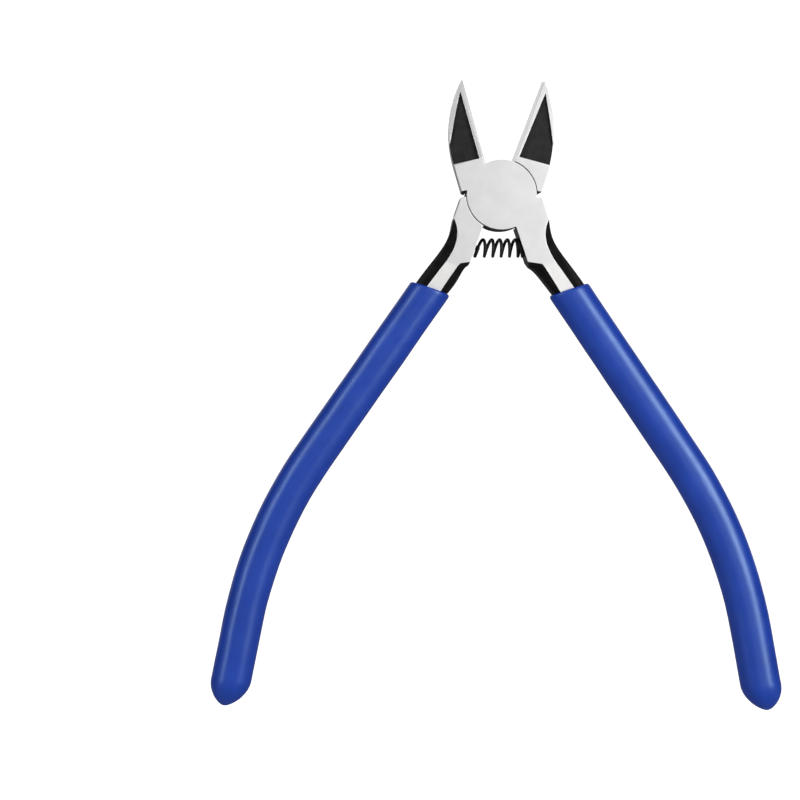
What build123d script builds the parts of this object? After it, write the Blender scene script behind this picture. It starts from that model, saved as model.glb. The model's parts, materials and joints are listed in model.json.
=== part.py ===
from build123d import *

import os
from math import cos, radians, sin, tan

os.makedirs("parts", exist_ok=True)

# Flush cut pliers, standing upright with the jaws up.
# The pliers lie in the XZ plane and the pivot runs along Y through the origin.
# Y = 0 is the flat back (the flush side), Y = -HEAD_THICKNESS is the front face.
# Both halves are drawn as they lie when the jaws are closed, then turned open about the pivot.
# In the drawings of one side, X is the distance out from the centre line and Z is the height.

# ---------------------------------------------------------------- driving dimensions, mm
HEAD_THICKNESS = 8.0
FRONT_HALF_TURN = 18.3
REAR_HALF_TURN = -19.3

# lap joint and rivet
LAP_RADIUS = 7.7
LAP_POCKET_RADIUS = 7.9
LAP_CLEARANCE = 0.02
RIVET_BODY_RADIUS = 2.5
RIVET_STUB_RADIUS = 2.0
RIVET_HEAD_RADIUS = 3.6
RIVET_HEAD_HEIGHT = 1.3
RIVET_RUNNING_CLEARANCE = 0.03
RIVET_HEAD_CLEARANCE = 0.1

# jaw
JAW_TIP_HEIGHT = 27.5
JAW_TIP_WIDTH = 0.45
JAW_TIP_THICKNESS = 2.8
JAW_BACK_MID = (6.1, 18.3)
JAW_BACK_ROOT = (7.95, 9.2)
JAW_HEEL = (8.15, 3.45)
HEEL_UNDERSIDE_BACK = ((7.1, 2.7), (5.0, 2.2))
HEEL_UNDERSIDE_FRONT = ((6.9, 3.3), (5.0, 2.2))
JAW_DRAFT = 0.3
JAW_ROOT_HEIGHT = JAW_BACK_ROOT[1]
CUT_LINE_TIP_X = 0.56
CUT_LINE_THROAT_X = -0.2
CUT_LINE_THROAT_HEIGHT = 8.5
EDGE_CLEARANCE = 0.01
EDGE_THROAT_RELIEF = 0.2
EDGE_LAND = 0.35
LEFT_BEVEL_WIDTH = 1.1
RIGHT_BEVEL_WIDTH = 0.4
BEVEL_START_HEIGHT = 7.3
BEVEL_OVERCUT = 0.5
JAW_DISC_OVERLAP = 5.5
JAW_TIP_ROUNDING = 0.15
POCKET_TIP_MARGIN = 1.45
LEFT_POCKET_ROOT_MARGIN = 1.8
RIGHT_POCKET_ROOT_MARGIN = 0.85
POCKET_ROOT_HEIGHT = 9.1
POCKET_TIP_HEIGHT = 25.0
POCKET_KINK = (6.95, 14.7)
POCKET_BULGE = 0.1
POCKET_OPEN_SIDE = ((8.4, 12.6), (8.95, 9.7))
POCKET_ROOT_DEPTH = 0.9
POCKET_TIP_DEPTH = 0.35

# shank
SHOULDER = (8.2, -3.45)
FRONT_SHANK_INNER = 0.8
REAR_SHANK_INNER = 1.6
SHANK_STEP_HEIGHT = -15.6
SHANK_TOP_HEIGHT = -4.0
SHANK_TOP = ((5.0, -2.4), (7.0, -3.0))
SHANK_WIDTH = 6.8
WAIST_START = (8.2, -7.4)
WAIST = ((7.85, -12.2), (9.25, -18.1))
SHANK_INNER_CURVE = (2.8, -20.6)
SHANK_STEP_DROP = 1.4
SHANK_STEP_SET_IN = 0.1
SHANK_STEP_SLANT = 0.7
SHANK_THINNING_HEIGHT = -18.0
SHANK_THINNING_LENGTH = 12.0
SHANK_THINNING_SLOPE = 8.5
SHANK_END = 3.0
FLANK_DEPTH = 2.9
FLANK_RUN = 2.6
OUTER_FLANK = ((8.5, -8.2), (6.4, -11.25), (6.0, -14.2), (6.9, -18.9), (7.5, -22.0), (8.9, -29.5))
INNER_FLANK = ((-2.0, -15.0), (0.7, -15.8), (3.65, -17.3), (5.6, -22.0), (8.4, -29.5))
CUT_CLEAR = 15.0
TOOL_OVERSHOOT = 1.0

# handle centre line: straight, bent inwards, straight
MOUTH_X = 7.8
MOUTH_HEIGHT = -24.4
HANDLE_SPREAD = 15.6
HANDLE_UPPER_LENGTH = 45.3
HANDLE_BEND_RADIUS = 98.4
HANDLE_BEND_ANGLE = 23.7
HANDLE_LOWER_LENGTH = 12.5
TANG_WIDTH = 6.4
TANG_THICKNESS = 5.6
TANG_CORNER = 1.8
TANG_START = 2.0

# grip
GRIP_WIDTH = 8.9
GRIP_THICKNESS = HEAD_THICKNESS
GRIP_CORNER = 3.9
GRIP_START = 3.0
GRIP_LIP_RADIUS = 0.5
NOSE_LENGTH = 6.2
NOSE_STEPS = 8
NOSE_BLUNTNESS = 0.7
NOSE_SET_OUT = 0.6

# return spring and the two pins that hold its ends
WIRE_RADIUS = 0.3
COIL_RADIUS = 1.87
COIL_PITCH = 1.8
SPRING_HEIGHT = -11.5
SPRING_LEFT_END = -4.3
SPRING_RIGHT_END = 3.65
PIN_RADIUS = 0.6
PIN_DEPTH = 2.0
PIN_STANDOUT = 0.9
PIN_HEIGHT = -12.6
PIN_CHAMFER = 0.15

MID_Y = -HEAD_THICKNESS / 2
LAP_THICKNESS = (HEAD_THICKNESS - LAP_CLEARANCE) / 2
LEAN = radians(HANDLE_SPREAD)


# ---------------------------------------------------------------- planes of a turned half
def across(turn):
    """Direction out from the centre line of a half turned TURN degrees about the pivot."""
    return Vector(cos(radians(turn)), 0, sin(radians(turn)))


def upward(turn):
    """Direction from the pivot to the jaw tip of a half turned TURN degrees."""
    return Vector(-sin(radians(turn)), 0, cos(radians(turn)))


def face_plane(turn, y):
    """Drawing plane of a half at depth Y, seen from the front."""
    return Plane(origin=(0, y, 0), x_dir=across(turn), z_dir=(0, -1, 0))


def level_plane(turn, height):
    """Plane across a half at a height; its local Y is world Y."""
    return Plane(origin=upward(turn) * height, x_dir=across(turn), z_dir=upward(turn))


def side_plane(turn):
    """Plane through the pivot seen from the side; local X runs from the back to the front."""
    return Plane(origin=(0, 0, 0), x_dir=(0, -1, 0), z_dir=across(turn) * -1)


def to_side(side, *points):
    """Points drawn on the right-hand side, moved to SIDE (1 right, -1 left)."""
    return [(side * x, z) for x, z in points]


# ---------------------------------------------------------------- jaw
def cutting_edge(side, height, margin=0.0):
    """Distance out to the cutting edge of the jaw on SIDE, plus a margin.

    The two edges meet at the tips first and stand slightly apart at the throat."""
    below_tip = (JAW_TIP_HEIGHT - height) / (JAW_TIP_HEIGHT - CUT_LINE_THROAT_HEIGHT)
    line_x = CUT_LINE_TIP_X + (CUT_LINE_THROAT_X - CUT_LINE_TIP_X) * below_tip
    return side * line_x + EDGE_CLEARANCE + EDGE_THROAT_RELIEF * below_tip + margin


def jaw_front(height):
    """Y of the jaw's sloping front at a height."""
    slope = (HEAD_THICKNESS - JAW_TIP_THICKNESS) / (JAW_TIP_HEIGHT - JAW_ROOT_HEIGHT)
    return -HEAD_THICKNESS + slope * (height - JAW_ROOT_HEIGHT)


def jaw_outline(side, draft, underside):
    """Cutting edge, blunt tip, curved back, heel and its UNDERSIDE; back and heel drawn in by DRAFT."""
    root_height = LAP_RADIUS - JAW_DISC_OVERLAP
    root = (cutting_edge(side, root_height), root_height)
    tip_inner = (cutting_edge(side, JAW_TIP_HEIGHT), JAW_TIP_HEIGHT)
    tip_outer = (tip_inner[0] + JAW_TIP_WIDTH, JAW_TIP_HEIGHT - JAW_TIP_ROUNDING)
    back_mid = (JAW_BACK_MID[0] - draft, JAW_BACK_MID[1])
    back_root = (JAW_BACK_ROOT[0] - draft, JAW_BACK_ROOT[1])
    heel = (JAW_HEEL[0] - draft, JAW_HEEL[1])
    with BuildLine() as outline:
        Polyline(*to_side(side, root, tip_inner, tip_outer))
        ThreePointArc(*to_side(side, tip_outer, back_mid, back_root))
        Polyline(*to_side(side, back_root, heel, *underside, root))
    return outline.line


def pocket_outline(side):
    """Hollow on the jaw's front: rimmed along the curved back, open to the edge below the kink."""
    root_margin = RIGHT_POCKET_ROOT_MARGIN if side > 0 else LEFT_POCKET_ROOT_MARGIN
    tip = (cutting_edge(side, POCKET_TIP_HEIGHT, POCKET_TIP_MARGIN), POCKET_TIP_HEIGHT)
    throat = (cutting_edge(side, POCKET_ROOT_HEIGHT, root_margin), POCKET_ROOT_HEIGHT)
    with BuildLine() as outline:
        SagittaArc(*to_side(side, tip, POCKET_KINK), side * POCKET_BULGE)
        Polyline(*to_side(side, POCKET_KINK, *POCKET_OPEN_SIDE, throat, tip))
    return outline.line


def bevel_section(side, height):
    """Wedge taken off the cutting edge, from its narrow back land to the front."""
    back_y = -EDGE_LAND
    front_y = jaw_front(height)
    clear_y = front_y - BEVEL_OVERCUT
    width = RIGHT_BEVEL_WIDTH if side > 0 else LEFT_BEVEL_WIDTH
    edge = cutting_edge(side, height)
    front_x = edge + width * (back_y - clear_y) / (back_y - front_y)
    past = edge - BEVEL_OVERCUT
    return to_side(side, (edge, back_y), (front_x, clear_y), (past, clear_y), (past, back_y))


# ---------------------------------------------------------------- shank and handle
def beside_handle(along, aside):
    """Point ALONG mm past the grip's mouth and ASIDE mm out from the handle's centre line."""
    x = MOUTH_X + along * sin(LEAN) + aside * cos(LEAN)
    return (x, MOUTH_HEIGHT - along * cos(LEAN) + aside * sin(LEAN))


def shank_outline(side, inner):
    """Shoulder, waisted outer edge, end inside the grip, stepped inner edge."""
    top_inner = (inner, SHANK_TOP_HEIGHT)
    outer_end = beside_handle(SHANK_END, SHANK_WIDTH / 2)
    inner_end = beside_handle(SHANK_END, -SHANK_WIDTH / 2)
    step_top = (inner, SHANK_STEP_HEIGHT)
    step = (inner + SHANK_STEP_SET_IN, SHANK_STEP_HEIGHT - SHANK_STEP_DROP)
    down = (side * sin(LEAN), -cos(LEAN))
    up = (-side * sin(LEAN), cos(LEAN))
    with BuildLine() as outline:
        Polyline(*to_side(side, top_inner, *SHANK_TOP, SHOULDER, WAIST_START))
        Spline(
            *to_side(side, WAIST_START, *WAIST, outer_end),
            tangents=[(0, -1), down],
        )
        Line(*to_side(side, outer_end, inner_end))
        Spline(
            *to_side(side, inner_end, SHANK_INNER_CURVE, step),
            tangents=[up, (-side * SHANK_STEP_SLANT, SHANK_STEP_SLANT)],
        )
        Polyline(*to_side(side, step, step_top, top_inner))
    return outline.line


def outer_flank_outline(side):
    """Region of the front outside the shank's flat face."""
    start = OUTER_FLANK[0]
    end = OUTER_FLANK[-1]
    with BuildLine() as outline:
        Spline(*to_side(side, *OUTER_FLANK))
        Polyline(*to_side(side, end, (CUT_CLEAR, end[1]), (CUT_CLEAR, start[1]), start))
    return outline.line


def inner_flank_outline(side):
    """Region of the front inside the shank's flat face, below the step."""
    start = INNER_FLANK[0]
    end = INNER_FLANK[-1]
    with BuildLine() as outline:
        Polyline(*to_side(side, *INNER_FLANK, (start[0], end[1]), start))
    return outline.line


def handle_path(side, turn, start):
    """Centre line of a handle, from START mm past the mouth to where the grip's nose begins."""
    top = to_side(side, beside_handle(start, 0))[0]
    upper_angle = -90 + side * HANDLE_SPREAD
    lower_angle = upper_angle - side * HANDLE_BEND_ANGLE
    with BuildLine(face_plane(turn, MID_Y)) as path:
        upper = PolarLine(top, HANDLE_UPPER_LENGTH - start, angle=upper_angle)
        bend = JernArc(upper @ 1, upper % 1, HANDLE_BEND_RADIUS, lower_angle - upper_angle)
        PolarLine(bend @ 1, HANDLE_LOWER_LENGTH, angle=lower_angle)
    return path.wire()


def square_plane(path, position):
    """Plane square to a handle's centre line; its local X lies in the plane of the pliers."""
    along = path % position
    return Plane(origin=path @ position, x_dir=Vector(0, 1, 0).cross(along), z_dir=along)


def pin_plane(side, turn, inner):
    """Plane on the shank's inner wall that faces the other shank, at the spring pin."""
    origin = across(turn) * side * inner + upward(turn) * PIN_HEIGHT + Vector(0, MID_Y, 0)
    return Plane(origin=origin, x_dir=(0, 1, 0), z_dir=across(turn) * -side)


# ---------------------------------------------------------------- pieces
def build_half(turn, jaw_side, shank_inner, own_lap_y, other_lap_y, rivet_bores):
    """One forged half: jaw on JAW_SIDE, lap disc in the middle, shank and tang on the other side.

    RIVET_BORES are (radius, depth) pairs bored from the back face."""
    shank_side = -jaw_side

    # tool that leaves the hollow in the jaw's sloping front
    rise = JAW_TIP_HEIGHT - JAW_ROOT_HEIGHT
    fall = jaw_front(JAW_TIP_HEIGHT) - jaw_front(JAW_ROOT_HEIGHT)
    floor_fall = fall - POCKET_ROOT_DEPTH + POCKET_TIP_DEPTH
    floor_start = upward(turn) * JAW_ROOT_HEIGHT + Vector(0, POCKET_ROOT_DEPTH - HEAD_THICKNESS, 0)
    floor_normal = upward(turn) * floor_fall - Vector(0, rise, 0)
    with BuildPart() as pocket_tool:
        with BuildSketch(face_plane(turn, -HEAD_THICKNESS - TOOL_OVERSHOOT)):
            add(pocket_outline(jaw_side))
            make_face()
        extrude(amount=-HEAD_THICKNESS)
        split(bisect_by=Plane(origin=floor_start, z_dir=floor_normal), keep=Keep.TOP)

    tang_path = handle_path(shank_side, turn, TANG_START)

    with BuildPart() as half:
        # shank, full thickness at the joint and thinner towards the grip
        with BuildSketch(face_plane(turn, 0)):
            add(shank_outline(shank_side, shank_inner))
            make_face()
        extrude(amount=HEAD_THICKNESS)
        thin_end = SHANK_THINNING_HEIGHT - SHANK_THINNING_LENGTH
        thinning_depth = SHANK_THINNING_LENGTH * tan(radians(SHANK_THINNING_SLOPE))
        for face_y, into in ((HEAD_THICKNESS, -1), (0.0, 1)):
            with BuildSketch(side_plane(turn)):
                with BuildLine():
                    Polyline(
                        (face_y, SHANK_THINNING_HEIGHT),
                        (face_y + into * thinning_depth, thin_end),
                        (face_y - into * TOOL_OVERSHOOT, thin_end),
                        (face_y - into * TOOL_OVERSHOOT, SHANK_THINNING_HEIGHT),
                        close=True,
                    )
                make_face()
            extrude(amount=CUT_CLEAR, both=True, mode=Mode.SUBTRACT)

        # sloped flanks of the shank, on the front and on the back
        for face_y, into in ((-HEAD_THICKNESS, 1), (0.0, -1)):
            for flank, outward in (
                (outer_flank_outline(shank_side), shank_side),
                (inner_flank_outline(shank_side), -shank_side),
            ):
                with BuildSketch(face_plane(turn, face_y)):
                    add(flank)
                    make_face()
                slope = across(turn) * outward * FLANK_RUN + Vector(0, into * FLANK_DEPTH, 0)
                extrude(amount=FLANK_DEPTH, dir=slope, mode=Mode.SUBTRACT)

        # jaw, then its sloping front, its hollow and the bevel of its cutting edge
        for face_y, draft, underside in (
            (0.0, JAW_DRAFT, HEEL_UNDERSIDE_BACK),
            (-HEAD_THICKNESS, 0.0, HEEL_UNDERSIDE_FRONT),
        ):
            with BuildSketch(face_plane(turn, face_y)):
                add(jaw_outline(jaw_side, draft, underside))
                make_face()
        loft(ruled=True)
        with BuildSketch(side_plane(turn)):
            with BuildLine():
                above = JAW_TIP_HEIGHT + TOOL_OVERSHOOT
                Polyline(
                    (HEAD_THICKNESS, JAW_ROOT_HEIGHT),
                    (-jaw_front(above), above),
                    (HEAD_THICKNESS + TOOL_OVERSHOOT, above),
                    (HEAD_THICKNESS + TOOL_OVERSHOOT, JAW_ROOT_HEIGHT),
                    close=True,
                )
            make_face()
        extrude(amount=CUT_CLEAR, both=True, mode=Mode.SUBTRACT)
        add(pocket_tool.part, mode=Mode.SUBTRACT)
        for height in (BEVEL_START_HEIGHT, JAW_TIP_HEIGHT + TOOL_OVERSHOOT):
            with BuildSketch(level_plane(turn, height)):
                with BuildLine():
                    Polyline(*bevel_section(jaw_side, height), close=True)
                make_face()
        loft(ruled=True, mode=Mode.SUBTRACT)

        # lap joint: room for the other half's disc, then this half's own disc
        with BuildSketch(face_plane(turn, other_lap_y)):
            Circle(LAP_POCKET_RADIUS)
        extrude(amount=LAP_THICKNESS + LAP_CLEARANCE, mode=Mode.SUBTRACT)
        with BuildSketch(face_plane(turn, own_lap_y)):
            Circle(LAP_RADIUS)
        extrude(amount=LAP_THICKNESS)
        for bore_radius, bore_depth in rivet_bores:
            with BuildSketch(face_plane(turn, 0)):
                Circle(bore_radius)
            extrude(amount=bore_depth, mode=Mode.SUBTRACT)

        # hole for the spring pin, and the tang that runs down inside the grip
        with BuildSketch(pin_plane(shank_side, turn, shank_inner)):
            Circle(PIN_RADIUS)
        extrude(amount=-PIN_DEPTH, mode=Mode.SUBTRACT)
        with BuildSketch(square_plane(tang_path, 0)):
            RectangleRounded(TANG_WIDTH, TANG_THICKNESS, TANG_CORNER)
        sweep(path=tang_path)
    return half


def build_grip(side, turn, steel):
    """Dipped grip: a rounded sleeve along the handle with a blunt pointed end, moulded on the tang."""
    path = handle_path(side, turn, -GRIP_START)
    with BuildPart() as grip:
        with BuildSketch(square_plane(path, 0)):
            RectangleRounded(GRIP_WIDTH, GRIP_THICKNESS, GRIP_CORNER)
        sweep(path=path)
        split(bisect_by=level_plane(turn, MOUTH_HEIGHT), keep=Keep.BOTTOM)
        fillet(grip.faces().sort_by(Axis.Z)[-1].edges(), radius=GRIP_LIP_RADIUS)
        nose_plane = square_plane(path, 1)
        for step in range(NOSE_STEPS):
            distance = 1 - (1 - step / NOSE_STEPS) ** 2
            shrink = (1 - distance ** 2) ** NOSE_BLUNTNESS
            with BuildSketch(nose_plane.offset(distance * NOSE_LENGTH)):
                with Locations((-side * NOSE_SET_OUT * distance, 0)):
                    RectangleRounded(GRIP_WIDTH * shrink, GRIP_THICKNESS * shrink, GRIP_CORNER * shrink)
        loft()
        add(steel, mode=Mode.SUBTRACT)
    return grip


def build_spring_pin(side, turn, inner):
    """Short pin pressed into the shank's inner wall; its end sits inside the spring's last coil."""
    with BuildPart() as pin:
        with BuildSketch(pin_plane(side, turn, inner).offset(-PIN_DEPTH)):
            Circle(PIN_RADIUS)
        extrude(amount=PIN_DEPTH + PIN_STANDOUT)
        free_end = pin.faces().sort_by(Axis.X)[0 if side > 0 else -1]
        chamfer(free_end.edges(), length=PIN_CHAMFER)
    return pin


front_half = build_half(
    turn=FRONT_HALF_TURN,
    jaw_side=-1,
    shank_inner=FRONT_SHANK_INNER,
    own_lap_y=-HEAD_THICKNESS + LAP_THICKNESS,
    other_lap_y=0,
    rivet_bores=((RIVET_STUB_RADIUS, HEAD_THICKNESS),),
)
rear_half = build_half(
    turn=REAR_HALF_TURN,
    jaw_side=1,
    shank_inner=REAR_SHANK_INNER,
    own_lap_y=0,
    other_lap_y=-HEAD_THICKNESS + LAP_THICKNESS + LAP_CLEARANCE,
    rivet_bores=(
        (RIVET_BODY_RADIUS + RIVET_RUNNING_CLEARANCE, HEAD_THICKNESS),
        (RIVET_HEAD_RADIUS + RIVET_HEAD_CLEARANCE, RIVET_HEAD_HEIGHT),
    ),
)

front_half.part.label = "front_half"
export_step(front_half.part, "parts/front_half.step")
rear_half.part.label = "rear_half"
export_step(rear_half.part, "parts/rear_half.step")

right_grip = build_grip(1, FRONT_HALF_TURN, front_half.part)
right_grip.part.label = "right_grip"
export_step(right_grip.part, "parts/right_grip.step")
left_grip = build_grip(-1, REAR_HALF_TURN, rear_half.part)
left_grip.part.label = "left_grip"
export_step(left_grip.part, "parts/left_grip.step")

right_spring_pin = build_spring_pin(1, FRONT_HALF_TURN, FRONT_SHANK_INNER)
right_spring_pin.part.label = "right_spring_pin"
export_step(right_spring_pin.part, "parts/right_spring_pin.step")
left_spring_pin = build_spring_pin(-1, REAR_HALF_TURN, REAR_SHANK_INNER)
left_spring_pin.part.label = "left_spring_pin"
export_step(left_spring_pin.part, "parts/left_spring_pin.step")

with BuildPart() as pivot_rivet:
    with BuildSketch(face_plane(0, 0)):
        Circle(RIVET_HEAD_RADIUS)
    extrude(amount=RIVET_HEAD_HEIGHT - LAP_CLEARANCE)
    with BuildSketch(face_plane(0, 0)):
        Circle(RIVET_BODY_RADIUS)
    extrude(amount=LAP_THICKNESS + LAP_CLEARANCE)
    with BuildSketch(face_plane(0, 0)):
        Circle(RIVET_STUB_RADIUS)
    extrude(amount=HEAD_THICKNESS)
pivot_rivet.part.label = "pivot_rivet"
export_step(pivot_rivet.part, "parts/pivot_rivet.step")

with BuildPart() as return_spring:
    with BuildLine() as coil:
        Helix(
            pitch=COIL_PITCH,
            height=SPRING_RIGHT_END - SPRING_LEFT_END,
            radius=COIL_RADIUS,
            center=(SPRING_LEFT_END, MID_Y, SPRING_HEIGHT),
            direction=(1, 0, 0),
        )
    with BuildSketch(Plane(origin=coil.line @ 0, z_dir=coil.line % 0)):
        Circle(WIRE_RADIUS)
    sweep(path=coil.line, is_frenet=True)
return_spring.part.label = "return_spring"
export_step(return_spring.part, "parts/return_spring.step")
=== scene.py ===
import json
import math

import bmesh
import bpy
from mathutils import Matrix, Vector, noise


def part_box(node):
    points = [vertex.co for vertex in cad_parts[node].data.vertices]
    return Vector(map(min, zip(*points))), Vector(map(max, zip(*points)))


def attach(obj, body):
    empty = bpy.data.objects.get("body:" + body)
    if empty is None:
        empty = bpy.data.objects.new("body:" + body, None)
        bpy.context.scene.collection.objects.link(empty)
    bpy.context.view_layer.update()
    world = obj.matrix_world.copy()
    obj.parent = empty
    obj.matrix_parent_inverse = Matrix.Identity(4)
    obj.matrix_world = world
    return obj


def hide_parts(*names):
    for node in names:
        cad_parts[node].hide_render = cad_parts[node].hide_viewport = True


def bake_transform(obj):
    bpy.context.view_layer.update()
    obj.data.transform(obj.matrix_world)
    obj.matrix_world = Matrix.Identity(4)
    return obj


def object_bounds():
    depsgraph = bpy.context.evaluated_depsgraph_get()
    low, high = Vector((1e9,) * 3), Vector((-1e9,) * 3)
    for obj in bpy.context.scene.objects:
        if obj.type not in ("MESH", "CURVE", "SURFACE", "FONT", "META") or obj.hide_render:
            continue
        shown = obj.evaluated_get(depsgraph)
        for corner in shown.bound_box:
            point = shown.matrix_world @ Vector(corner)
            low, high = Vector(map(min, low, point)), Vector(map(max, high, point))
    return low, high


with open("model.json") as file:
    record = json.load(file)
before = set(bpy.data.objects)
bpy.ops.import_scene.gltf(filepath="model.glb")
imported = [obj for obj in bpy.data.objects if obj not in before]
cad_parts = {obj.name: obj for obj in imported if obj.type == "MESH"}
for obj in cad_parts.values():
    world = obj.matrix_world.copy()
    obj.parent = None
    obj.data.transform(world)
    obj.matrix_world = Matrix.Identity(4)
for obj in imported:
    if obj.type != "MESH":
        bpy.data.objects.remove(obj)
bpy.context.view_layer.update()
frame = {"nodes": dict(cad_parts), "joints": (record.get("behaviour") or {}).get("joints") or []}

# millimetres in the scene's unit, metres
MM = 0.001
scene = bpy.context.scene
nodes = frame["nodes"]

# ---------------------------------------------------------------- the frame's own numbers
# The jaws are shut at the end of the hinge's travel, so at rest the two leans add up to that travel.
HINGE = next(j for j in frame["joints"] if j["name"] == "jaw_pivot")
FRONT_LEAN = math.radians(18.3)
REAR_LEAN = FRONT_LEAN - math.radians(HINGE["range_deg"][1])
HEAD_LOW, HEAD_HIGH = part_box("pivot_rivet")
FRONT_Y = HEAD_LOW.y
BACK_Y = HEAD_HIGH.y
MID_Y = (FRONT_Y + BACK_Y) / 2


def half_axes(turn):
    """Outward and upward directions of a half that leans TURN radians about the pivot."""
    across = Vector((math.cos(turn), 0, math.sin(turn)))
    up = Vector((-math.sin(turn), 0, math.cos(turn)))
    return across, up


# ---------------------------------------------------------------- node helpers
def new_material(name):
    material = bpy.data.materials.new(name)
    material.use_nodes = True
    tree = material.node_tree
    tree.nodes.clear()
    output = tree.nodes.new("ShaderNodeOutputMaterial")
    shader = tree.nodes.new("ShaderNodeBsdfPrincipled")
    tree.links.new(shader.outputs["BSDF"], output.inputs["Surface"])
    return material, tree, shader


def object_coordinates(tree):
    return tree.nodes.new("ShaderNodeTexCoord").outputs["Object"]


def stretched(tree, vector, scale):
    mapping = tree.nodes.new("ShaderNodeMapping")
    mapping.inputs["Scale"].default_value = scale
    tree.links.new(vector, mapping.inputs["Vector"])
    return mapping.outputs["Vector"]


def noise_value(tree, vector, grain, detail):
    """Noise whose blotches are about GRAIN metres across, with DETAIL finer layers."""
    texture = tree.nodes.new("ShaderNodeTexNoise")
    texture.inputs["Scale"].default_value = 1 / grain
    texture.inputs["Detail"].default_value = detail
    tree.links.new(vector, texture.inputs["Vector"])
    return texture.outputs["Fac"]


def remap(tree, value, low, high, from_low=0.3, from_high=0.7):
    """VALUE spread from LOW to HIGH; the default range is the one most of a noise's values lie in."""
    node = tree.nodes.new("ShaderNodeMapRange")
    node.inputs["From Min"].default_value = from_low
    node.inputs["From Max"].default_value = from_high
    node.inputs["To Min"].default_value = low
    node.inputs["To Max"].default_value = high
    tree.links.new(value, node.inputs["Value"])
    return node.outputs["Result"]


def colour_mix(tree, factor, first, second):
    """Mix of two colours, each either a fixed colour or another node's output."""
    node = tree.nodes.new("ShaderNodeMix")
    node.data_type = "RGBA"
    tree.links.new(factor, node.inputs[MIX_FACTOR])
    for slot, colour in ((MIX_FIRST, first), (MIX_SECOND, second)):
        if isinstance(colour, tuple):
            node.inputs[slot].default_value = (*colour, 1)
        else:
            tree.links.new(colour, node.inputs[slot])
    return node.outputs[MIX_RESULT]


# sockets of the mix node that carry its factor and its colours
MIX_FACTOR = 0
MIX_FIRST = 6
MIX_SECOND = 7
MIX_RESULT = 2


def maths(tree, operation, *values):
    """One maths node; a value is either a number or another node's output."""
    node = tree.nodes.new("ShaderNodeMath")
    node.operation = operation
    for slot, value in enumerate(values):
        if isinstance(value, (int, float)):
            node.inputs[slot].default_value = value
        else:
            tree.links.new(value, node.inputs[slot])
    return node.outputs[0]


def rounded_normal(tree, radius):
    """Normals that ease every edge over RADIUS, which may be another node's output."""
    node = tree.nodes.new("ShaderNodeBevel")
    node.samples = BEVEL_SAMPLES
    if isinstance(radius, float):
        node.inputs["Radius"].default_value = radius
    else:
        tree.links.new(radius, node.inputs["Radius"])
    return node.outputs["Normal"]


BEVEL_SAMPLES = 6


def along_direction(tree, place, direction):
    """How far PLACE lies along DIRECTION."""
    along = tree.nodes.new("ShaderNodeVectorMath")
    along.operation = "DOT_PRODUCT"
    along.inputs[1].default_value = direction
    tree.links.new(place, along.inputs[0])
    return along.outputs["Value"]


def pivot_distance(tree, place):
    """Distance from the pivot axis."""
    radial = tree.nodes.new("ShaderNodeVectorMath")
    radial.operation = "LENGTH"
    tree.links.new(stretched(tree, place, (1, 0, 1)), radial.inputs[0])
    return radial.outputs["Value"]


def wall_share(tree):
    """1 on walls that run from front to back, 0 on the flat faces."""
    geometry = tree.nodes.new("ShaderNodeNewGeometry")
    split = tree.nodes.new("ShaderNodeSeparateXYZ")
    tree.links.new(geometry.outputs["Normal"], split.inputs[0])
    return remap(tree, maths(tree, "ABSOLUTE", split.outputs["Y"]), 1, 0, WALL_TURN, FLAT_TURN)


# sizes of a normal's Y at which a wall starts to turn into a flat face, and is one
WALL_TURN = 0.3
FLAT_TURN = 0.8


def bump(tree, height, relief, normal=None):
    """Small relief in the surface. RELIEF is its depth in metres and its strength."""
    distance, strength = relief
    node = tree.nodes.new("ShaderNodeBump")
    node.inputs["Distance"].default_value = distance
    node.inputs["Strength"].default_value = strength
    tree.links.new(height, node.inputs["Height"])
    if normal is not None:
        tree.links.new(normal, node.inputs["Normal"])
    return node.outputs["Normal"]


# ---------------------------------------------------------------- materials
# The rivet's stub is ground flush, so edges are eased only beyond this distance from the pivot.
RIVET_BLEND = 2.6 * MM
RIVET_BLEND_END = 2.8 * MM
EDGE_SOFTNESS = 0.14 * MM
STEEL_CLOUDS = 3.2 * MM
STEEL_GRAIN = 0.16 * MM
GRAIN_RELIEF = (0.02 * MM, 0.25)
# the side walls of the head are rougher than its faces, and their darker colour is painted shade that
# damps the lamps' glare on them
WALL_SHADE_STEEL = (0.62, 0.62, 0.625)
WALL_ROUGHER = 0.35


def satin_steel(name, bright, dark, roughness):
    """Bead-blasted steel: fine even grain, faint cloudy tone, softened edges, rougher side walls in
    painted shade.
    """
    material, tree, shader = new_material(name)
    place = object_coordinates(tree)
    clouds = noise_value(tree, place, STEEL_CLOUDS, 4)
    grain = noise_value(tree, place, STEEL_GRAIN, 2)
    walls = wall_share(tree)
    shader.inputs["Metallic"].default_value = 1
    tone = colour_mix(tree, remap(tree, clouds, 0, 1), dark, bright)
    # walls that run from front to back take a darker colour: painted shade
    tree.links.new(colour_mix(tree, walls, tone, WALL_SHADE_STEEL), shader.inputs["Base Color"])
    even = remap(tree, grain, *roughness)
    tree.links.new(maths(tree, "MULTIPLY_ADD", walls, WALL_ROUGHER, even), shader.inputs["Roughness"])
    away = pivot_distance(tree, place)
    radius = remap(tree, away, 0, EDGE_SOFTNESS, RIVET_BLEND, RIVET_BLEND_END)
    soft = rounded_normal(tree, radius)
    tree.links.new(bump(tree, grain, GRAIN_RELIEF, soft), shader.inputs["Normal"])
    return material


GROUND_CLOUDS = 2.4 * MM
GROUND_LINES = 0.12 * MM
LINE_RELIEF = (0.01 * MM, 0.12)
# grinding lines run along Z: their pattern is stretched that way
LINE_STRETCH = 0.08


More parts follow.
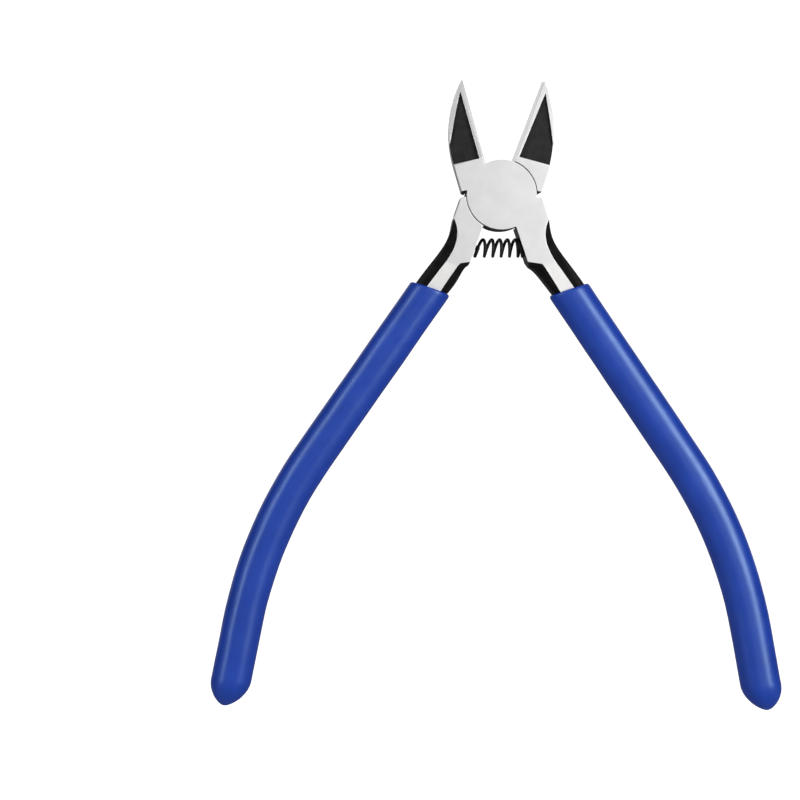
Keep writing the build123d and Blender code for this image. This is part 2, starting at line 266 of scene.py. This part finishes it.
def polished_steel(name, bright, dark, metallic, roughness):
    """Ground steel: grinding lines along the piece over a bright, slightly milky base."""
    material, tree, shader = new_material(name)
    place = object_coordinates(tree)
    lines = noise_value(tree, stretched(tree, place, (1, 1, LINE_STRETCH)), GROUND_LINES, 2)
    clouds = noise_value(tree, place, GROUND_CLOUDS, 3)
    shader.inputs["Metallic"].default_value = metallic
    tree.links.new(colour_mix(tree, remap(tree, clouds, 0, 1), dark, bright), shader.inputs["Base Color"])
    tree.links.new(remap(tree, lines, *roughness), shader.inputs["Roughness"])
    tree.links.new(bump(tree, lines, LINE_RELIEF), shader.inputs["Normal"])
    return material


OXIDE_BLOTCHES = 1.6 * MM
OXIDE_PITS = 0.22 * MM
PIT_RELIEF = (0.03 * MM, 0.35)
OXIDE_SHEEN = 0.15


def black_oxide(name, low, high, roughness, edge_radius):
    """Blackened forged skin: uneven dark tone and a slightly pitted surface."""
    material, tree, shader = new_material(name)
    place = object_coordinates(tree)
    blotches = noise_value(tree, place, OXIDE_BLOTCHES, 4)
    pits = noise_value(tree, place, OXIDE_PITS, 3)
    shader.inputs["Metallic"].default_value = 0
    shader.inputs["Specular IOR Level"].default_value = OXIDE_SHEEN
    tree.links.new(colour_mix(tree, remap(tree, blotches, 0, 1), low, high), shader.inputs["Base Color"])
    tree.links.new(remap(tree, blotches, *roughness), shader.inputs["Roughness"])
    soft = rounded_normal(tree, edge_radius)
    tree.links.new(bump(tree, pits, PIT_RELIEF, soft), shader.inputs["Normal"])
    return material


VINYL_DEEP = (0.002, 0.027, 0.275)
VINYL_LIGHT = (0.004, 0.037, 0.335)
VINYL_CLOUDS = 9 * MM
VINYL_SMUDGES = 4 * MM
VINYL_ROUGHNESS = (0.32, 0.39)
VINYL_SHEEN = (0.55, 0.77, 0.95)
VINYL_SHEEN_LEVEL = 0.95
CLOUD_RELIEF = (0.2 * MM, 0.12)
ORANGE_PEEL = 0.5 * MM
PEEL_RELIEF = (0.012 * MM, 0.25)


def dipped_vinyl(name):
    """Dipped vinyl skin: deep blue, soft sheen, faint waves and a very fine orange-peel."""
    material, tree, shader = new_material(name)
    place = object_coordinates(tree)
    clouds = noise_value(tree, place, VINYL_CLOUDS, 3)
    peel = noise_value(tree, place, ORANGE_PEEL, 2)
    smudges = noise_value(tree, place, VINYL_SMUDGES, 3)
    colour = colour_mix(tree, remap(tree, clouds, 0, 1), VINYL_DEEP, VINYL_LIGHT)
    tree.links.new(colour, shader.inputs["Base Color"])
    tree.links.new(remap(tree, smudges, *VINYL_ROUGHNESS), shader.inputs["Roughness"])
    shader.inputs["Specular IOR Level"].default_value = VINYL_SHEEN_LEVEL
    shader.inputs["Specular Tint"].default_value = (*VINYL_SHEEN, 1)
    waves = bump(tree, clouds, CLOUD_RELIEF)
    tree.links.new(bump(tree, peel, PEEL_RELIEF, waves), shader.inputs["Normal"])
    return material


STEEL = satin_steel(
    "satin_steel", bright=(0.9, 0.9, 0.903), dark=(0.84, 0.84, 0.845), roughness=(0.4, 0.5)
)
POLISHED = polished_steel(
    "ground_flat",
    bright=(0.85, 0.845, 0.83),
    dark=(0.79, 0.785, 0.77),
    metallic=0.55,
    roughness=(0.55, 0.65),
)
GROUND_EDGE = polished_steel(
    "ground_edge",
    bright=(0.9, 0.9, 0.905),
    dark=(0.82, 0.82, 0.83),
    metallic=0.6,
    roughness=(0.14, 0.22),
)
OXIDE = black_oxide(
    "black_oxide",
    low=(0.003, 0.003, 0.003),
    high=(0.009, 0.009, 0.009),
    roughness=(0.42, 0.55),
    edge_radius=0.1 * MM,
)
HOLLOW = black_oxide(
    "hollow_oxide",
    low=(0.011, 0.011, 0.011),
    high=(0.02, 0.02, 0.02),
    roughness=(0.5, 0.6),
    edge_radius=0.05 * MM,
)
WIRE = black_oxide(
    "wire_oxide",
    low=(0.009, 0.009, 0.01),
    high=(0.02, 0.02, 0.021),
    roughness=(0.3, 0.42),
    edge_radius=0.02 * MM,
)
VINYL = dipped_vinyl("dipped_vinyl")


# ---------------------------------------------------------------- steel halves
# places of a half's finishes in its list of materials
SATIN, BLACK, JAW_HOLLOW, SHANK_FLAT, CUTTING_EDGE = range(5)


def island_finish(low, high, normal):
    """Finish of one CAD face of a half, from its extent in mm and its mean normal, in the half's own axes.

    X is outward on the jaw side and Z is up the jaw."""
    flat = abs(normal.y) > FLAT_LEAST
    wall = abs(normal.y) < WALL_MOST
    height = high.y - low.y
    if low.z > HOLLOW_LOW and high.z < HOLLOW_HIGH and high.y > HOLLOW_LEAST_Y:
        return JAW_HOLLOW
    if low.z > HEEL_HIGH and high.z > HOLLOW_LOW and normal.x < -FLAT_LEAST and low.y < EDGE_LAND_Y:
        return CUTTING_EDGE
    if flat and abs(normal.z) > THINNING_SLOPE and high.z < THINNING_TOP:
        return SHANK_FLAT
    if high.z < TANG_TOP:
        return BLACK
    if flat:
        depth = high.y - FRONT_Y / MM
        flank_floor = height < SLIVER and FLANK_FLOOR_DEPTH < depth < FLANK_FLOOR_FAR
        return BLACK if flank_floor and high.z < SHANK_TOP else SATIN
    if high.z < SHANK_TOP:
        return BLACK
    if wall and height < LAP_WALL_HEIGHT and high.z < LAP_REACH and low.z > -LAP_REACH:
        return BLACK
    # down-facing walls under the heels get the black as painted shade, the shadow under each heel
    if wall and normal.z < HEEL_UNDERSIDE and HEEL_LOW < low.z and high.z < HEEL_HIGH:
        return BLACK
    return SATIN


# sizes of a mean normal's parts that tell flat faces, walls, slopes and undersides apart
FLAT_LEAST = 0.9
WALL_MOST = 0.25
THINNING_SLOPE = 0.1
HEEL_UNDERSIDE = -0.5
# extents in a half's own axes, mm, that tell one CAD face from another
HOLLOW_LOW = 9.05
HOLLOW_HIGH = 25.2
HOLLOW_LEAST_Y = -7.5
TANG_TOP = -26.0
SHANK_TOP = -7.3
SLIVER = 0.01
FLANK_FLOOR_DEPTH = 2.0
FLANK_FLOOR_FAR = 6.0
LAP_WALL_HEIGHT = 4.2
LAP_REACH = 8.1
HEEL_LOW = 1.9
HEEL_HIGH = 3.6
EDGE_LAND_Y = -1.0
THINNING_TOP = -17.5


def mesh_islands(mesh):
    """Groups of polygons that share vertices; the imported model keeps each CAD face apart."""
    parent = list(range(len(mesh.vertices)))

    def root(index):
        while parent[index] != index:
            parent[index] = parent[parent[index]]
            index = parent[index]
        return index

    for polygon in mesh.polygons:
        first = root(polygon.vertices[0])
        for vertex in polygon.vertices[1:]:
            other = root(vertex)
            if other != first:
                parent[other] = first
    groups = {}
    for polygon in mesh.polygons:
        groups.setdefault(root(polygon.vertices[0]), []).append(polygon)
    return list(groups.values())


def finish_half(name, turn, jaw_side):
    """Gives each CAD face of a half its finish. JAW_SIDE is the sign of X on the jaw's side."""
    mesh = nodes[name].data
    across, up = half_axes(turn)
    across = across * jaw_side
    mesh.materials.clear()
    for material in (STEEL, oxide_and_heel_shade(name, across * -1, up), HOLLOW, POLISHED, GROUND_EDGE):
        mesh.materials.append(material)
    for group in mesh_islands(mesh):
        area = sum(p.area for p in group)
        mean = sum((p.normal * p.area for p in group), Vector()) / max(area, LEAST_AREA)
        local = []
        for polygon in group:
            for index in polygon.vertices:
                co = mesh.vertices[index].co
                local.append((co.dot(across) / MM, co.y / MM, co.dot(up) / MM))
        low = Vector(min(p[axis] for p in local) for axis in range(3))
        high = Vector(max(p[axis] for p in local) for axis in range(3))
        normal = Vector((mean.dot(across), mean.y, mean.dot(up)))
        finish = island_finish(low, high, normal)
        for polygon in group:
            polygon.material_index = finish


# keeps the mean normal of a face of no area from dividing by nothing
LEAST_AREA = 1e-12


def oxide_and_heel_shade(name, outward, up):
    """Black oxide that gives way to bare steel up the outer side of the shank; the same black is painted
    shade on the heels' down-facing walls.
    """
    material = OXIDE.copy()
    material.name = name + "_oxide"
    tree = material.node_tree
    shader = next(n for n in tree.nodes if n.type == "BSDF_PRINCIPLED")
    output = next(n for n in tree.nodes if n.type == "OUTPUT_MATERIAL")
    place = object_coordinates(tree)
    above = remap(tree, along_direction(tree, place, up), 0, 1, *BARE_ABOVE)
    outer = remap(tree, along_direction(tree, place, outward), 0, 1, *BARE_OUTWARD)
    outside = remap(tree, pivot_distance(tree, place), 0, 1, *BARE_BEYOND_DISC)
    share = maths(tree, "MULTIPLY", maths(tree, "MULTIPLY", above, outside), outer)
    bare = tree.nodes.new("ShaderNodeBsdfPrincipled")
    bare.inputs["Metallic"].default_value = 1
    bare.inputs["Base Color"].default_value = (*BARE_STEEL, 1)
    bare.inputs["Roughness"].default_value = BARE_ROUGHNESS
    mix = tree.nodes.new("ShaderNodeMixShader")
    tree.links.new(share, mix.inputs[0])
    tree.links.new(shader.outputs["BSDF"], mix.inputs[1])
    tree.links.new(bare.outputs["BSDF"], mix.inputs[2])
    tree.links.new(mix.outputs[0], output.inputs["Surface"])
    return material


BARE_STEEL = (0.8, 0.8, 0.805)
BARE_ROUGHNESS = 0.45
# where the black gives way to bare steel: height up the half, distance outwards, distance from the pivot
BARE_ABOVE = (-8.5 * MM, -8.25 * MM)
BARE_OUTWARD = (3.5 * MM, 3.7 * MM)
BARE_BEYOND_DISC = (8.3 * MM, 8.35 * MM)

finish_half("front_half", FRONT_LEAN, -1)
finish_half("rear_half", REAR_LEAN, 1)


def finish_node(name, material):
    mesh = nodes[name].data
    mesh.materials.clear()
    mesh.materials.append(material)
    for polygon in mesh.polygons:
        polygon.material_index = 0


finish_node("pivot_rivet", STEEL)
finish_node("left_spring_pin", OXIDE)
finish_node("right_spring_pin", OXIDE)


# ---------------------------------------------------------------- mesh pieces
def add_piece(name, mesh, material):
    piece = bpy.data.objects.new(name, mesh)
    scene.collection.objects.link(piece)
    mesh.materials.clear()
    mesh.materials.append(material)
    for polygon in mesh.polygons:
        polygon.use_smooth = True
    return piece


def vinyl_skin(node, name, body):
    """The dipped grip as one soft skin: the CAD sleeve remeshed, eased and given the dip's faint waves."""
    source = nodes[node].data.copy()
    work = bmesh.new()
    work.from_mesh(source)
    bmesh.ops.remove_doubles(work, verts=work.verts, dist=SEAM_WIDTH)
    work.to_mesh(source)
    work.free()
    source.materials.clear()
    carrier = bpy.data.objects.new(name + "_carrier", source)
    scene.collection.objects.link(carrier)
    remesh = carrier.modifiers.new("remesh", "REMESH")
    remesh.mode = "VOXEL"
    remesh.voxel_size = SKIN_VOXEL
    ease = carrier.modifiers.new("ease", "SMOOTH")
    ease.factor = EASING_FACTOR
    ease.iterations = SKIN_EASING
    graph = bpy.context.evaluated_depsgraph_get()
    mesh = bpy.data.meshes.new_from_object(carrier.evaluated_get(graph))
    bpy.data.objects.remove(carrier)
    normals = [vertex.normal.copy() for vertex in mesh.vertices]
    for vertex, normal in zip(mesh.vertices, normals):
        wave = noise.noise(vertex.co / WAVE_LENGTH)
        vertex.co += normal * wave * WAVE_HEIGHT
    piece = add_piece(name, mesh, VINYL)
    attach(piece, body)
    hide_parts(node)


SEAM_WIDTH = 0.001 * MM
SKIN_VOXEL = 0.28 * MM
SKIN_EASING = 3
EASING_FACTOR = 0.5
WAVE_LENGTH = 7 * MM
WAVE_HEIGHT = 0.05 * MM

vinyl_skin("left_grip", "left_grip_skin", "rear_lever")
vinyl_skin("right_grip", "right_grip_skin", "front_lever")


# ---------------------------------------------------------------- return spring
def smooth(value, low, high):
    """0 below LOW, 1 above HIGH, and a smooth ramp between them."""
    t = min(max((value - low) / (high - low), 0), 1)
    return t * t * (3 - 2 * t)


def tube(points, radius, sides):
    """Closed tube mesh along a smooth line of points."""
    verts = []
    faces = []
    tangents = []
    for index in range(len(points)):
        before = points[max(index - 1, 0)]
        after = points[min(index + 1, len(points) - 1)]
        tangents.append((after - before).normalized())
    side = tangents[0].orthogonal().normalized()
    for index, (point, tangent) in enumerate(zip(points, tangents)):
        side = (side - tangent * side.dot(tangent)).normalized()
        other = tangent.cross(side)
        for step in range(sides):
            angle = 2 * math.pi * step / sides
            verts.append(point + (side * math.cos(angle) + other * math.sin(angle)) * radius)
    for ring in range(len(points) - 1):
        for step in range(sides):
            a = ring * sides + step
            b = ring * sides + (step + 1) % sides
            faces.append((a, b, b + sides, a + sides))
    faces.append(tuple(reversed(range(sides))))
    last = (len(points) - 1) * sides
    faces.append(tuple(range(last, last + sides)))
    mesh = bpy.data.meshes.new("tube")
    mesh.from_pydata([tuple(v) for v in verts], [], faces)
    mesh.update()
    return mesh


SPRING_LOW, SPRING_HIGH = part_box("return_spring")
SPRING_MID = (SPRING_LOW + SPRING_HIGH) / 2
# how far the coil stands out of the CAD spring's box, above and below
COIL_PROUD = 0.03 * MM
WIRE_RADIUS = 0.36 * MM
COIL_RADIUS = (SPRING_HIGH.z - SPRING_LOW.z) / 2 - WIRE_RADIUS + COIL_PROUD
WIRE_SIDES = 14
# distances from each half's own middle plane to the side of the wire that is next to its shank
LEFT_REACH = 1.25 * MM
RIGHT_REACH = 0.8 * MM
ACTIVE_TURNS = 4.75
END_TURNS = 0.75
STEPS_PER_TURN = 40
# the tops of the coils lie closer together than their bottoms, because the shanks spread downwards
TOP_START = -3.65 * MM
TOP_PITCH = 1.73 * MM
BOTTOM_START = -4.45 * MM
BOTTOM_PITCH = 1.86 * MM
STRAND_OFFSET = 0.12 * MM
# turns over which the wire leaves the left shank's slope and takes up the right one's
LEFT_RELEASE = (-0.5, 0.3)
RIGHT_CATCH = (ACTIVE_TURNS - 0.3, ACTIVE_TURNS + 0.5)


def wall_x(height, side, reach):
    """X of a wire that runs parallel to a shank's inner wall, at a height."""
    across, up = half_axes(FRONT_LEAN if side > 0 else REAR_LEAN)
    clear = side * (reach - WIRE_RADIUS)
    along = (height - clear * across.z) / up.z
    return clear * across.x + along * up.x


def spring_point(turns):
    """Centre of the wire after TURNS from the top of the first free coil, which is at the left."""
    angle = 2 * math.pi * turns
    rise = math.cos(angle)
    height = SPRING_MID.z + COIL_RADIUS * rise
    top_x = TOP_START + TOP_PITCH * turns
    bottom_x = BOTTOM_START + BOTTOM_PITCH * turns
    free_x = top_x * (1 + rise) / 2 + bottom_x * (1 - rise) / 2
    x = free_x + STRAND_OFFSET * math.sin(angle)
    x += (wall_x(height, -1, LEFT_REACH) - x) * (1 - smooth(turns, *LEFT_RELEASE))
    x += (wall_x(height, 1, RIGHT_REACH) - x) * smooth(turns, *RIGHT_CATCH)
    return Vector((x, MID_Y - COIL_RADIUS * math.sin(angle), height))


def return_spring():
    """One coil of wire that stretches between the two shanks."""
    start = -END_TURNS
    end = ACTIVE_TURNS + END_TURNS
    steps = int((end - start) * STEPS_PER_TURN)
    points = [spring_point(start + (end - start) * k / steps) for k in range(steps + 1)]
    piece = add_piece("return_spring_wire", tube(points, WIRE_RADIUS, WIRE_SIDES), WIRE)
    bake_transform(piece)
    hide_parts("return_spring")


return_spring()


# ---------------------------------------------------------------- floor, light, camera
LOW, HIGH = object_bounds()
OBJECT_MID = (LOW + HIGH) / 2
WHITE = (1, 1, 1, 1)
FLOOR_RADIUS = 6.0
FLOOR_SIDES = 96
FLOOR_DROP = 24 * MM
FLOOR_LIFT = 0.8
FLOOR_PALE = (0.95, 0.95, 0.95)
FLOOR_SHADE = (0.93, 0.93, 0.93)
FLOOR_CLOUDS = 60 * MM
FLOOR_ROUGHNESS = (0.75, 0.85)
FLOOR_SHEEN = 0.1
FLOOR_SEEN_IN_METAL = (0.3, 0.3, 0.3)


def floor_material():
    """Pale matt floor, lifted to white for the eye and darker in reflections."""
    material, tree, shader = new_material("pale_floor")
    place = object_coordinates(tree)
    path = tree.nodes.new("ShaderNodeLightPath")
    clouds = noise_value(tree, place, FLOOR_CLOUDS, 3)
    colour = colour_mix(tree, remap(tree, clouds, 0, 1), FLOOR_SHADE, FLOOR_PALE)
    colour = colour_mix(tree, path.outputs["Is Glossy Ray"], colour, FLOOR_SEEN_IN_METAL)
    tree.links.new(colour, shader.inputs["Base Color"])
    tree.links.new(remap(tree, clouds, *FLOOR_ROUGHNESS), shader.inputs["Roughness"])
    shader.inputs["Specular IOR Level"].default_value = FLOOR_SHEEN
    shader.inputs["Emission Color"].default_value = WHITE
    lift = maths(tree, "MULTIPLY", path.outputs["Is Camera Ray"], FLOOR_LIFT)
    tree.links.new(lift, shader.inputs["Emission Strength"])
    return material


def add_floor():
    """Floor below the left grip's end, which swings lower than at rest while the jaws close."""
    mesh = bpy.data.meshes.new("floor")
    verts = [(0, 0, 0)]
    for step in range(FLOOR_SIDES):
        angle = 2 * math.pi * step / FLOOR_SIDES
        verts.append((FLOOR_RADIUS * math.cos(angle), FLOOR_RADIUS * math.sin(angle), 0))
    faces = [(0, 1 + step, 1 + (step + 1) % FLOOR_SIDES) for step in range(FLOOR_SIDES)]
    mesh.from_pydata(verts, [], faces)
    floor = bpy.data.objects.new("floor", mesh)
    scene.collection.objects.link(floor)
    mesh.materials.append(floor_material())
    floor.location = (0, MID_Y, LOW.z - FLOOR_DROP)


# brightness of the studio: to the eye, as fill from in front and behind, and in reflections
SEEN_WHITE = 1.15
FILL = 0.58
FILL_BEHIND = 0.2
FILL_SPREAD = (-0.3, 0.7)
SIDE_LEVEL = 0.05
# each glow in reflections: the direction it is centred on, its level there, and where it fades out
GLOWS = (
    ((0, -0.7, 0.71), 0.47, 0.25),
    ((0, 1, 0), 0.8, 0.45),
)


def background(tree, colour, strength):
    """Background shader whose colour and strength are either fixed or another node's output."""
    node = tree.nodes.new("ShaderNodeBackground")
    for name, value in (("Color", colour), ("Strength", strength)):
        if isinstance(value, (tuple, float)):
            node.inputs[name].default_value = value
        else:
            tree.links.new(value, node.inputs[name])
    return node.outputs[0]


def choice(tree, switch, first, second):
    """SECOND where SWITCH is 1, else FIRST."""
    node = tree.nodes.new("ShaderNodeMixShader")
    for slot, source in enumerate((switch, first, second)):
        tree.links.new(source, node.inputs[slot])
    return node.outputs[0]


def add_world():
    """White studio: white to the eye, fill mostly from in front, two glows in reflections."""
    world = bpy.data.worlds.new("studio")
    scene.world = world
    world.use_nodes = True
    tree = world.node_tree
    tree.nodes.clear()
    output = tree.nodes.new("ShaderNodeOutputWorld")
    path = tree.nodes.new("ShaderNodeLightPath")
    outward = tree.nodes.new("ShaderNodeTexCoord").outputs["Generated"]
    ahead = along_direction(tree, outward, (0, -1, 0))
    fill = background(tree, WHITE, remap(tree, ahead, FILL_BEHIND, FILL, *FILL_SPREAD))
    levels = []
    for direction, level, edge in GLOWS:
        toward = along_direction(tree, outward, Vector(direction).normalized())
        levels.append(remap(tree, toward, SIDE_LEVEL, level, edge, 1))
    grey = tree.nodes.new("ShaderNodeCombineColor")
    glow = maths(tree, "MAXIMUM", *levels)
    for channel in ("Red", "Green", "Blue"):
        tree.links.new(glow, grey.inputs[channel])
    mirrored = background(tree, grey.outputs[0], 1.0)
    seen = background(tree, WHITE, SEEN_WHITE)
    lighting = choice(tree, path.outputs["Is Glossy Ray"], fill, mirrored)
    studio = choice(tree, path.outputs["Is Camera Ray"], lighting, seen)
    tree.links.new(studio, output.inputs["Surface"])


def add_softbox(name, direction, width, height, power):
    """Rectangular soft light that faces the middle of the object from DIRECTION."""
    light = bpy.data.lights.new(name, "AREA")
    light.shape = "RECTANGLE"
    light.size = width
    light.size_y = height
    light.energy = power
    lamp = bpy.data.objects.new(name, light)
    scene.collection.objects.link(lamp)
    away = Vector(direction).normalized()
    lamp.location = OBJECT_MID + away * LAMP_DISTANCE
    lamp.rotation_euler = away.to_track_quat("Z", "Y").to_euler()
    lamp.visible_camera = False


LAMP_DISTANCE = 0.9
add_floor()
add_world()
add_softbox("key_softbox", (0.63, -0.765, 0.06), width=0.42, height=0.8, power=8.2)
add_softbox("side_softbox", (-0.74, -0.6, 0.28), width=0.14, height=0.8, power=2.4)
add_softbox("low_softbox", (0.46, -0.845, -0.27), width=0.16, height=0.4, power=0.7)

# The camera stands left of the jaws and below them. The picture is shifted so that the object lies
# right of its middle, as in the photograph.
NEAREST_SEEN = 0.01
FARTHEST_SEEN = 50
CAMERA_DISTANCE = 500 * MM
CAMERA_X = -44 * MM
CAMERA_Z = -44.1 * MM
SENSOR_WIDTH = 36
PICTURE_WIDTH = 176 * MM
PICTURE_CENTRE_X = OBJECT_MID.x - 21.44 * MM
PICTURE_CENTRE_Z = CAMERA_Z - 1.1 * MM


def add_camera():
    """Long lens looking straight along +Y."""
    camera_data = bpy.data.cameras.new("camera")
    camera_data.sensor_width = SENSOR_WIDTH
    camera_data.lens = SENSOR_WIDTH * CAMERA_DISTANCE / PICTURE_WIDTH
    camera_data.clip_start = NEAREST_SEEN
    camera_data.clip_end = FARTHEST_SEEN
    camera_data.shift_x = (PICTURE_CENTRE_X - CAMERA_X) / PICTURE_WIDTH
    camera_data.shift_y = (PICTURE_CENTRE_Z - CAMERA_Z) / PICTURE_WIDTH
    camera = bpy.data.objects.new("camera", camera_data)
    scene.collection.objects.link(camera)
    camera.location = (CAMERA_X, FRONT_Y - CAMERA_DISTANCE, CAMERA_Z)
    camera.rotation_euler = (math.pi / 2, 0, 0)
    scene.camera = camera


add_camera()
scene.view_settings.view_transform = "Standard"
